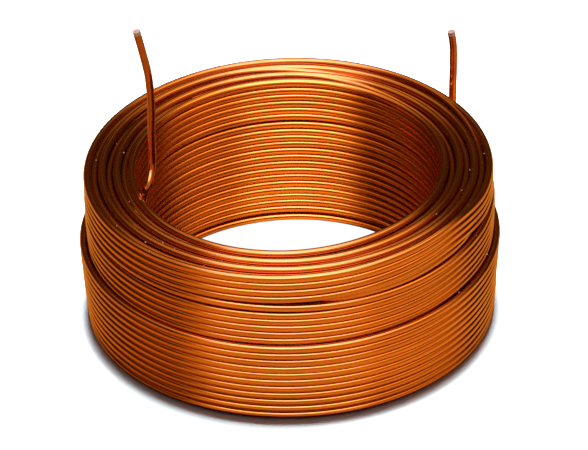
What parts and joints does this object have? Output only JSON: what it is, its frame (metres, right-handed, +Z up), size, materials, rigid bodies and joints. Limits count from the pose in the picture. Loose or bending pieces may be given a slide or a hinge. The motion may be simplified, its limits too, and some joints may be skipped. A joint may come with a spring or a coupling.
{
  "type": "air core inductor",
  "caption": "Air core inductor: a flat ring of enamelled copper wire wound in nested layers with stepped bands, its two stiff wire leads standing up",
  "frame": {"origin": "on the coil's axis, in the plane that the coil stands on", "axes": "+X to the right as the picture shows the coil, +Y away from the camera, +Z up the coil's axis, the way the leads stand"},
  "size_m": [0.0552, 0.0552, 0.0444],
  "materials": {
    "enamelled_copper": "glossy clear enamel over bright copper"
  },
  "bodies": {
    "root": {"winding": "enamelled_copper"}
  },
  "joints": []
}
